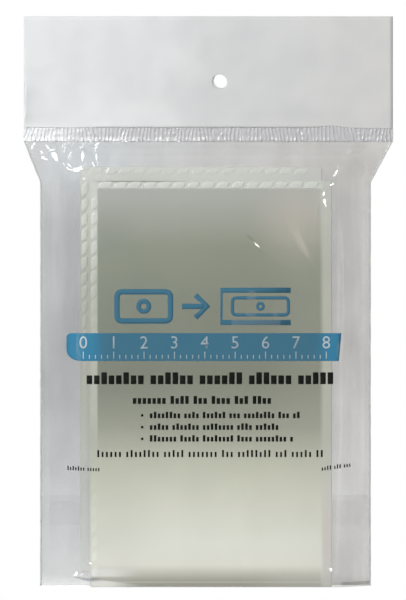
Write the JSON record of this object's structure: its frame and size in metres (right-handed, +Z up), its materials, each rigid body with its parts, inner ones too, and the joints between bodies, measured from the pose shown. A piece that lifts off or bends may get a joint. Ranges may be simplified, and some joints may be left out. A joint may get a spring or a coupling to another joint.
{
  "type": "hang pack of currency sleeves",
  "caption": "Clear film hang pack with a white header and round hang hole, holding two fanned bundles of clear currency sleeves, closed by a folded flap at the bottom.",
  "frame": {"origin": "centre of the round hang hole, midway between the two header films", "axes": "the pack hangs upright: +X to the right as seen from the front, +Y to the back, +Z up; the front with the bulging film faces -Y"},
  "size_m": [0.1222, 0.0113, 0.1885],
  "materials": {
    "white_header_film": "satin white film, softly waved",
    "fused_film": "pressed and fused clear film, bright ribs",
    "clear_bag_film": "thin clear film, glossy and a little wrinkled",
    "clear_sleeve_film": "clear polyester, glossy, grey green where many lie together",
    "adhesive": "milky pressure-sensitive strip"
  },
  "bodies": {
    "bag": {"header_front_film": "white_header_film", "header_back_film": "white_header_film", "crimp_seal": "fused_film", "pouch_front_film": "clear_bag_film", "pouch_back_film": "clear_bag_film", "left_side_weld": "fused_film", "right_side_weld": "fused_film"},
    "bottom_fold": {"bottom_fold": "clear_bag_film"},
    "closing_flap": {"closing_flap": "clear_bag_film", "adhesive_strip": "adhesive"},
    "front_bundle": {"sleeve_01": "clear_sleeve_film", "sleeve_02": "clear_sleeve_film", "sleeve_03": "clear_sleeve_film", "sleeve_04": "clear_sleeve_film", "sleeve_05": "clear_sleeve_film", "sleeve_06": "clear_sleeve_film", "sleeve_07": "clear_sleeve_film", "sleeve_08": "clear_sleeve_film", "sleeve_09": "clear_sleeve_film", "sleeve_10": "clear_sleeve_film", "sleeve_11": "clear_sleeve_film", "sleeve_12": "clear_sleeve_film", "sleeve_13": "clear_sleeve_film", "sleeve_14": "clear_sleeve_film", "sleeve_15": "clear_sleeve_film", "sleeve_16": "clear_sleeve_film", "sleeve_17": "clear_sleeve_film", "sleeve_18": "clear_sleeve_film", "sleeve_19": "clear_sleeve_film", "sleeve_20": "clear_sleeve_film", "sleeve_21": "clear_sleeve_film", "sleeve_22": "clear_sleeve_film", "sleeve_23": "clear_sleeve_film", "sleeve_24": "clear_sleeve_film", "sleeve_25": "clear_sleeve_film"},
    "rear_bundle": {"sleeve_26": "clear_sleeve_film", "sleeve_27": "clear_sleeve_film", "sleeve_28": "clear_sleeve_film", "sleeve_29": "clear_sleeve_film", "sleeve_30": "clear_sleeve_film", "sleeve_31": "clear_sleeve_film", "sleeve_32": "clear_sleeve_film", "sleeve_33": "clear_sleeve_film", "sleeve_34": "clear_sleeve_film", "sleeve_35": "clear_sleeve_film", "sleeve_36": "clear_sleeve_film", "sleeve_37": "clear_sleeve_film", "sleeve_38": "clear_sleeve_film", "sleeve_39": "clear_sleeve_film", "sleeve_40": "clear_sleeve_film", "sleeve_41": "clear_sleeve_film", "sleeve_42": "clear_sleeve_film", "sleeve_43": "clear_sleeve_film", "sleeve_44": "clear_sleeve_film", "sleeve_45": "clear_sleeve_film", "sleeve_46": "clear_sleeve_film", "sleeve_47": "clear_sleeve_film", "sleeve_48": "clear_sleeve_film", "sleeve_49": "clear_sleeve_film", "sleeve_50": "clear_sleeve_film"}
  },
  "joints": [
    {"name": "bottom_fold_hinge", "type": "hinge", "parent": "bag", "child": "bottom_fold", "pos_m": [-0.0047, -0.01101, -0.16676], "axis": [-1, 0, 0], "range_deg": [0, 90]},
    {"name": "closing_flap_hinge", "type": "hinge", "parent": "bottom_fold", "child": "closing_flap", "pos_m": [-0.0047, 0.00025, -0.16676], "axis": [-1, 0, 0], "range_deg": [0, 180]},
    {"name": "front_bundle_slide", "type": "slide", "parent": "bag", "child": "front_bundle", "axis": [0, 0, 1], "range_m": [0, 0.004]},
    {"name": "rear_bundle_slide", "type": "slide", "parent": "bag", "child": "rear_bundle", "axis": [0, 0, 1], "range_m": [-0.0043, 0.0035]}
  ]
}
